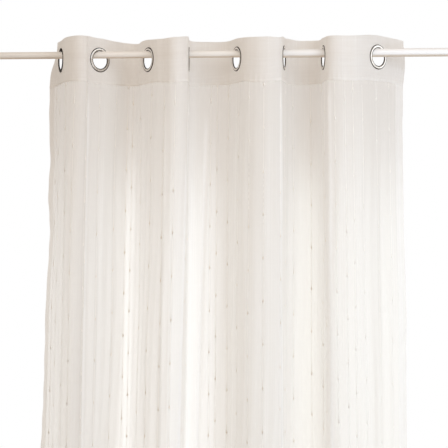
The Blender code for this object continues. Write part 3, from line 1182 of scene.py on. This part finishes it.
@dataclass
class KnottedYarns:
    """Thicker yarns woven along the warp, each with a row of drop-shaped knots."""

    cloth: HungCloth
    pitch: float = 0.0965
    radius: float = 0.00034
    flatness: float = 0.6
    sides: int = 5
    seed: int = 7
    uneven: float = 0.18
    stray: float = 0.0016
    end_gap: float = 0.0005
    outline: tuple[KnotRing, ...] = records(
        KnotRing,
        (0.0820, 1.0), (0.0680, 1.0), (0.0540, 1.0), (0.0420, 1.1), (0.0300, 1.3),
        (0.0200, 1.7), (0.0125, 2.4), (0.0098, 1.5), (0.0078, 3.0), (0.0056, 4.9),
        (0.0030, 5.4), (0.0010, 3.2), (0.0000, 1.0),
    )
    yarns: tuple[Yarn, ...] = records(
        Yarn,
        (0.030, 0.088), (0.064, 0.121), (0.118, 0.066), (0.151, 0.104), (0.186, 0.135),
        (0.209, 0.079), (0.251, 0.112), (0.302, 0.101), (0.338, 0.060), (0.351, 0.101),
        (0.393, 0.137), (0.451, 0.087), (0.499, 0.115), (0.530, 0.105), (0.589, 0.072),
        (0.640, 0.124), (0.702, 0.096), (0.717, 0.061), (0.747, 0.085), (0.806, 0.131),
        (0.848, 0.093), (0.884, 0.064), (0.926, 0.118), (0.983, 0.082), (1.034, 0.108),
        (1.077, 0.146), (1.126, 0.076), (1.168, 0.127), (1.211, 0.142), (1.234, 0.105),
        (1.252, 0.078), (1.276, 0.148), (1.322, 0.098), (1.364, 0.069),
    )

    def painted_knot_shade(self, thick: np.ndarray, across: np.ndarray, down: np.ndarray) -> np.ndarray:
        """How much painted shade a yarn's knots have, standing for their darkness against bright
        light behind the cloth.

        It grows with the thickness, from 1.5 to 5 times the plain yarn's. It falls to a fifth up
        to 0.18 m and from 1.30 m across, and up to 0.15 m down.
        """
        swell = np.clip((thick - 1.5) / 3.5, 0, 1)
        # The knots' painted shade is full in the lower middle of the cloth and a fifth elsewhere.
        backlit_share = smooth_step((across - 0.18) / 0.08) * smooth_step((1.30 - across) / 0.40)
        return swell * (0.2 + 0.8 * backlit_share * smooth_step((down - 0.15) / 0.30))

    def build(self) -> list[bpy.types.Object]:
        """Builds all yarns in one mesh.

        Each is a tube whose middle line runs down the cloth at one place across it, in rings of a
        few points. The rings' radii repeat at each knot, and a fixed random share makes the knots
        and their spacing uneven.
        """
        cloth = self.cloth
        chance = np.random.default_rng(self.seed)
        above = np.array([ring.above for ring in self.outline])
        thick = np.array([ring.radius for ring in self.outline])
        knots = math.ceil((cloth.hem - cloth.seam) / self.pitch) + 1
        first = np.array([yarn.first_knot for yarn in self.yarns])
        across = np.array([yarn.across for yarn in self.yarns])
        foot = first[:, None] + self.pitch * np.arange(knots)
        foot = foot + chance.uniform(-self.stray, self.stray, foot.shape)
        size = 1 + chance.uniform(-self.uneven, self.uneven, foot.shape)
        down = (foot[..., None] - above).reshape(len(across), -1)
        radius = 1 + (thick - 1) * size[..., None]
        radius = self.radius * radius.reshape(down.shape)
        down = np.clip(down, cloth.seam + self.end_gap, cloth.hem - self.end_gap)
        line = across[:, None] + np.zeros_like(down)
        centre = cloth.hung(line, down)
        beside = unit(cloth.hung(line + FEELER, down) - centre)
        front = self.flatness * cloth.outwards(line, down)
        angle = np.linspace(0, TURN, self.sides, endpoint=False)[:, None]
        around = beside[:, :, None] * np.cos(angle) + front[:, :, None] * np.sin(angle)
        points = centre[:, :, None] + around * radius[..., None, None]
        rings = down.shape[1]
        faces = grid_faces(rings, self.sides, close_columns=True)
        starts = rings * self.sides * np.arange(len(across))[:, None, None]
        faces = (faces + starts).reshape(-1, 4)
        cap = np.arange(self.sides)
        caps = np.concatenate([cap[None], cap[None, ::-1] + (rings - 1) * self.sides])
        caps = (caps + starts).reshape(-1, self.sides)
        mesh = make_mesh("knotted_yarns", points.reshape(-1, 3), [faces, caps])
        # The knots' painted shade, kept on the points for the yarn's finish.
        shade = self.painted_knot_shade(radius / self.radius, across[:, None], down)
        mark(mesh, KNOT, np.broadcast_to(shade[..., None], points.shape[:-1]))
        # The last colour is the knots' painted shade.
        finish = YarnFinish(
            "knotted_yarn", (0.90, 0.86, 0.81), (0.96, 0.93, 0.89), (0.72, 0.64, 0.55)
        )
        piece = add_piece("knotted_yarns", mesh, finish.material())
        return [piece]


@dataclass(frozen=True)
class Seam:
    """A straight line of stitches on the flat cloth, from one place to another."""

    start: tuple[float, float]
    end: tuple[float, float]


@dataclass
class Sewing:
    """The stitches of the heading's seam and of the hems, as small spindles."""

    cloth: HungCloth
    side_hem: float
    bottom_hem: float
    inset: float = 0.002
    margin: float = 0.001
    side_gap: float = 0.004
    end_gap: float = 0.003
    stitch: float = 0.0025
    spindle: tuple[float, ...] = (-0.5, -0.3, 0.3, 0.5)
    pitch: float = 0.0034
    radius: float = 0.00026

    def seams(self) -> tuple[Seam, ...]:
        """The lines of stitches: along the seam and the bottom hem, down both side hems, and down
        both ends of the heading."""
        cloth, margin, inset = self.cloth, self.margin, self.inset
        left, right = self.side_hem - inset, cloth.width - self.side_hem + inset
        top, seam = self.end_gap - cloth.rise, cloth.seam - inset
        foot = cloth.hem - self.bottom_hem + inset
        ends = (self.side_gap, cloth.width - self.side_gap)
        lines = [((margin, level), (cloth.width - margin, level)) for level in (seam, foot)]
        lines += [((x, seam + self.side_gap), (x, cloth.hem - margin)) for x in (left, right)]
        lines += [((x, top + margin), (x, seam - self.end_gap)) for x in ends]
        return records(Seam, *lines)

    def build(self) -> list[bpy.types.Object]:
        """Builds all stitches in one mesh.

        Each has a point at either end and two square rings between, round the line that joins its
        ends on the cloth.
        """
        middles, ways = [], []
        for seam in self.seams():
            start, end = np.array(seam.start), np.array(seam.end)
            length = float(np.linalg.norm(end - start))
            count = int(length / self.pitch)
            share = (np.arange(count) + 0.5)[:, None] / count
            middles.append(start + (end - start) * share)
            ways.append(np.broadcast_to((end - start) / length, (count, 2)))
        middle, way = np.concatenate(middles), np.concatenate(ways)
        share = np.array(self.spindle) * self.stitch
        places = middle[:, None] + way[:, None] * share[:, None]
        line = self.cloth.hung(places[..., 0], places[..., 1])
        off = self.cloth.outwards(places[..., 0], places[..., 1])
        beside = np.cross(unit(line[:, 3] - line[:, 0])[:, None], off)
        ring = np.stack([off, beside, -off, -beside], axis=2)[:, 1:3] * self.radius
        rings = (line[:, 1:3, None] + ring).reshape(len(middle), 8, 3)
        points = np.concatenate([line[:, :1], rings, line[:, 3:]], axis=1)
        corner = np.arange(4)
        after = (corner + 1) % 4
        tips = np.concatenate(
            [
                np.stack([0 * corner, 1 + after, 1 + corner], axis=-1),
                np.stack([9 + 0 * corner, 5 + corner, 5 + after], axis=-1),
            ]
        )
        sides = np.stack([1 + corner, 1 + after, 5 + after, 5 + corner], axis=-1)
        starts = (10 * np.arange(len(middle)))[:, None, None]
        faces = [(part + starts).reshape(-1, part.shape[1]) for part in (tips, sides)]
        mesh = make_mesh("stitches", points.reshape(-1, 3), faces)
        finish = YarnFinish(
            "sewing_thread", (0.91, 0.885, 0.85), (0.95, 0.93, 0.90), (0.91, 0.885, 0.85)
        )
        piece = add_piece("stitches", mesh, finish.material())
        return [piece]


@dataclass
class RingSet:
    """The eyelets' rings: two rounded halves that close on the heading."""

    cloth: HungCloth
    thickness: float = 0.0028
    groove: float = 0.0003
    flat_start: float = 0.04
    fullness: float = 0.7
    around: int = 96
    arc_steps: int = 14

    def profile(self) -> np.ndarray:
        """Half an ellipse over the band, from the rim to the bore, and its mirror image below.

        Returns:
            Radius and height of each point, closed in a loop.
        """
        bore, rim = self.cloth.ring_bore, self.cloth.ring_rim
        middle, half = (bore + rim) / 2, (rim - bore) / 2
        angle = np.linspace(self.flat_start * math.pi, math.pi, self.arc_steps)
        height = (self.thickness / 2) * np.sin(angle) ** self.fullness
        radius = middle + half * np.cos(angle)
        upper = np.stack([radius, np.maximum(height, self.groove)], axis=-1)
        seam = np.array([[bore + self.groove, 0.0]])
        lower = upper[::-1] * (1, -1)
        return np.concatenate([upper, seam, lower])

    def build(self) -> list[bpy.types.Object]:
        """Builds a ring on each eyelet: the profile turned round the cloth's square direction."""
        finish = NickelFinish().material()
        profile = self.profile()
        bore, rim = self.cloth.ring_bore, self.cloth.ring_rim
        # How near each profile point lies to the rim or the bore, for the metal's painted edge
        # shade.
        edge = np.abs(2 * profile[:, 0] - bore - rim) / (rim - bore)
        pieces = []
        for index, eyelet in enumerate(self.cloth.eyelets):
            way = float(self.cloth.direction(index, eyelet.turn))
            tangent, up = (math.cos(way), math.sin(way), 0.0), (0.0, 0.0, 1.0)
            axes = np.array([tangent, up, (math.sin(way), -math.cos(way), 0.0)])
            centre = (eyelet.x, 0.0, -self.cloth.ring_drop(eyelet))
            points = turned(profile, centre, axes, self.around)
            faces = facing_out(points, grid_faces(self.around, len(profile), True, True))
            name = f"ring_{index + 1}"
            mesh = make_mesh(name, points, [faces])
            mark(mesh, EDGE, np.broadcast_to(edge, (self.around, len(edge))))
            piece = add_piece(name, mesh, finish)
            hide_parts(f"eyelet_{index + 1}")
            pieces.append(piece)
        return pieces


class Tube(Enum):
    """The two tubes of the rod."""

    THIN = "rod_inner"
    THICK = "rod_outer"


# The thin tube's paint is a darker, warmer copy of the thick tube's: a painted shade for the rod's
# left end.
TUBE_FINISHES = {
    Tube.THIN: PaintFinish(
        "thin_tube_shaded_enamel", (0.83, 0.79, 0.74), (0.76, 0.71, 0.65), (0.64, 0.52, 0.41)
    ),
    Tube.THICK: PaintFinish(
        "thick_tube_enamel", (0.84, 0.815, 0.79), (0.77, 0.735, 0.69), (0.68, 0.58, 0.48)
    ),
}


@dataclass
class Rod:
    """The telescopic rod: a thin tube that slides in a thick one with a rolled lip."""

    half_length: float = 0.600
    overlap: float = 0.150
    socket_radius: float = 0.0084
    socket_gap: float = 0.0003
    rounding: float = 0.0010
    around: int = 64

    def rounded(self, x: float, radius: float, inwards: int, steps: int = 5) -> np.ndarray:
        """A quarter circle round an outer corner.

        Args:
            x: The end's place along the rod.
            radius: The tube's radius.
            inwards: 1 where the tube lies towards +X from this end, -1 where towards -X.
            steps: How many points.

        Returns:
            Place and radius of each point, from the end's face to the side.
        """
        angle = np.linspace(0, math.pi / 2, steps)
        along = x + inwards * self.rounding * (1 - np.sin(angle))
        return np.stack([along, radius - self.rounding * (1 - np.cos(angle))], axis=-1)[::-1]

    def profile(self, tube: Tube) -> np.ndarray:
        """The outline of a tube from axis to axis, as place along the rod and radius."""
        inner_end = ROD_STEP + self.overlap
        if tube is Tube.THIN:
            radius, start, end = THIN_ROD, -self.half_length, inner_end
            inside = [(start, 0.0)]
        else:
            radius, start, end = THICK_ROD, ROD_STEP, self.half_length
            socket, mouth = inner_end + self.socket_gap, self.socket_radius
            inside = [(socket, 0.0), (socket, mouth), (start, mouth)]
        start_face, end_face = self.rounded(start, radius, 1), self.rounded(end, radius, -1)
        return np.concatenate([inside, start_face, end_face[::-1], [(end, 0.0)]])

    def build(self) -> list[bpy.types.Object]:
        """Builds both tubes: each outline turned round the rod's axis."""
        axes = np.array([(0.0, 1.0, 0.0), (0.0, 0.0, 1.0), (1.0, 0.0, 0.0)])
        pieces = []
        for tube in Tube:
            profile = self.profile(tube)[:, ::-1]
            points = turned(profile, (0.0, 0.0, 0.0), axes, self.around)
            faces = facing_out(points, grid_faces(self.around, len(profile), close_rows=True))
            name = f"{tube.value}_tube"
            finish = TUBE_FINISHES[tube].material()
            mesh = make_mesh(name, points, [faces])
            weld(mesh)
            piece = add_piece(name, mesh, finish)
            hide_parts(tube.value)
            pieces.append(piece)
        return pieces


@dataclass(frozen=True)
class Lamp:
    """A soft rectangular light at a place, turned to its aim."""

    name: str
    place: Point
    aim: Point
    size: tuple[float, float]
    watts: float
    colour: Colour = (1.0, 1.0, 1.0)
    mirrored: bool = True

    def build(self) -> None:
        """Adds the light to the scene, unseen by the camera and, if not mirrored, in metal."""
        data = bpy.data.lights.new(self.name, "AREA")
        data.shape = "RECTANGLE"
        data.size, data.size_y = self.size
        data.energy = self.watts
        data.color = self.colour
        light = bpy.data.objects.new(self.name, data)
        light.location = self.place
        ahead = np.subtract(self.aim, self.place)
        turn = math.atan2(-ahead[0], ahead[1])
        tilt = math.atan2(ahead[2], math.hypot(ahead[0], ahead[1])) + math.radians(90)
        light.rotation_euler = (tilt, 0.0, turn)
        light.visible_camera = False
        light.visible_glossy = self.mirrored
        bpy.context.scene.collection.objects.link(light)


@dataclass
class Studio:
    """The camera, the light and the floor."""

    distance: float = 2.9
    yaw: float = 3.5
    pixel: float = 0.00227
    frame_pixels: int = 448
    rod_row: float = 54.0
    sensor: float = 36.0
    floor_radius: float = 3.6
    floor_sides: int = 96
    left_room: Colour = (0.49, 0.436, 0.374)
    right_room: Colour = (0.56, 0.48, 0.42)
    dark_wall: Colour = (0.05, 0.042, 0.038)
    bright_panel: Colour = (1.25, 1.24, 1.22)
    room_sides: Span = (-0.9, 0.9)
    low_light: float = 0.65
    more_light: float = 0.75
    light_rise: Span = (-0.2, 0.7)
    panel_edge: Span = (0.50, 0.80)
    side_edge: Span = (0.80, 0.95)
    slit_edge: Span = (-0.2, 0.9)
    slit_end: Span = (-0.3, 0.2)
    slit_light: float = 0.14
    lamps: tuple[Lamp, ...] = records(
        Lamp,
        ("front", (0.05, -0.60, -0.10), (0.05, 0.0, -0.10), (1.7, 0.75), 1.0, (1.0, 0.87, 0.76)),
        ("top", (0.05, -0.55, 0.45), (0.05, 0.0, -0.05), (1.7, 0.5), 2.37, (1.0, 1.0, 1.0), False),
        ("right", (0.70, -0.70, -0.45), (0.36, 0.0, -0.45), (0.5, 2.0), 6.4, (0.62, 0.80, 1.0)),
        ("back", (0.05, 0.90, -1.10), (0.05, 0.0, -1.10), (1.6, 1.6), 1.8, (1.0, 0.905, 0.79)),
        ("window", (-0.19, 0.20, -1.00), (-0.19, 0.0, -1.00), (0.34, 1.45), 2.5, (0.79, 0.90, 1.0)),
        ("glass", (0.28, 0.16, -1.00), (0.28, 0.0, -1.00), (0.28, 1.45), 1.5, (0.81, 0.935, 1.0)),
    )

    def camera(self) -> None:
        """Places the camera level, a little right of the middle, turned back to the rod."""
        data = bpy.data.cameras.new("camera")
        data.sensor_width = self.sensor
        data.lens = self.sensor * self.distance / (self.frame_pixels * self.pixel)
        camera = bpy.data.objects.new("camera", data)
        yaw = math.radians(self.yaw)
        below = (self.frame_pixels / 2 - self.rod_row) * self.pixel
        camera.location = (self.distance * math.sin(yaw), -self.distance * math.cos(yaw), -below)
        camera.rotation_euler = (math.radians(90), 0.0, yaw)
        bpy.context.scene.collection.objects.link(camera)
        bpy.context.scene.camera = camera

    def world(self) -> None:
        """A white backdrop, a dimmer room for the light on the curtain, and a room of bright
        panels and dark walls that only shows in the metal."""
        world = bpy.data.worlds.new("studio")
        bpy.context.scene.world = world
        world.use_nodes = True
        graph = Graph(world.node_tree)
        side, away, height = graph.parts(graph.node("ShaderNodeTexCoord", output="Generated"))
        room = graph.mix_colour(side.span(*self.room_sides), self.left_room, self.right_room)
        sky = self.low_light + height.span(*self.light_rise) * self.more_light
        lit = graph.node("ShaderNodeBackground", {0: room, 1: sky})
        panel = (side * 0.35 - away + height * 0.25).span(*self.panel_edge)
        panel = (panel + side.span(*self.side_edge)).limit()
        slit = (side * 6.0 + height * 9.0).sine().span(*self.slit_edge)
        slit = slit * away.span(*self.slit_end) * self.slit_light
        seen = graph.mix_colour((panel + slit).limit(), self.dark_wall, self.bright_panel)
        mirrored = graph.node("ShaderNodeBackground", {0: seen, 1: 1.0})
        white = graph.node("ShaderNodeBackground", {0: (1.0, 1.0, 1.0, 1.0), 1: 1.0})
        directly = graph.node("ShaderNodeLightPath", output="Is Camera Ray")
        glossy = graph.node("ShaderNodeLightPath", output="Is Glossy Ray")
        around = graph.mix_shader(glossy, lit, mirrored)
        graph.surface(graph.mix_shader(directly, around, white), "ShaderNodeOutputWorld")

    def floor(self, level: float) -> None:
        """A round pale floor under the hem."""
        rim = np.array([[self.floor_radius, level]])
        points = turned(rim, (0.0, 0.0, 0.0), np.eye(3), self.floor_sides)
        mesh = make_mesh("floor", points, [np.arange(self.floor_sides)[None]])
        made, graph = new_material("pale_floor")
        grain = graph.noise(graph.object_place(), 30.0)
        colour = graph.mix_colour(grain, (0.86, 0.875, 0.89), (0.90, 0.915, 0.93))
        graph.surface(graph.principled({"Base Color": colour, "Roughness": 0.7}))
        mesh.materials.append(made)
        floor = bpy.data.objects.new("floor", mesh)
        bpy.context.scene.collection.objects.link(floor)

    def build(self, level: float) -> None:
        """Sets the stage."""
        self.camera()
        self.world()
        for lamp in self.lamps:
            lamp.build()
        self.floor(level)
        bpy.context.scene.view_settings.view_transform = "Standard"


def main() -> None:
    """Builds the pieces in order and reports each."""
    logging.basicConfig(level=logging.INFO, format="%(name)s: %(message)s")
    floor_level = float(SOLIDS_BOX[0][2]) - FLOOR_GAP
    Studio().build(floor_level)
    curtain = Curtain()
    pieces = Rod().build() + RingSet(curtain.cloth).build() + curtain.build()
    pieces += KnottedYarns(curtain.cloth).build()
    pieces += Sewing(curtain.cloth, curtain.side_hem, curtain.bottom_hem).build()
    for piece in pieces:
        LOG.info("%s: %d faces", piece.name, len(piece.data.polygons))


if __name__ == "__main__":
    main()
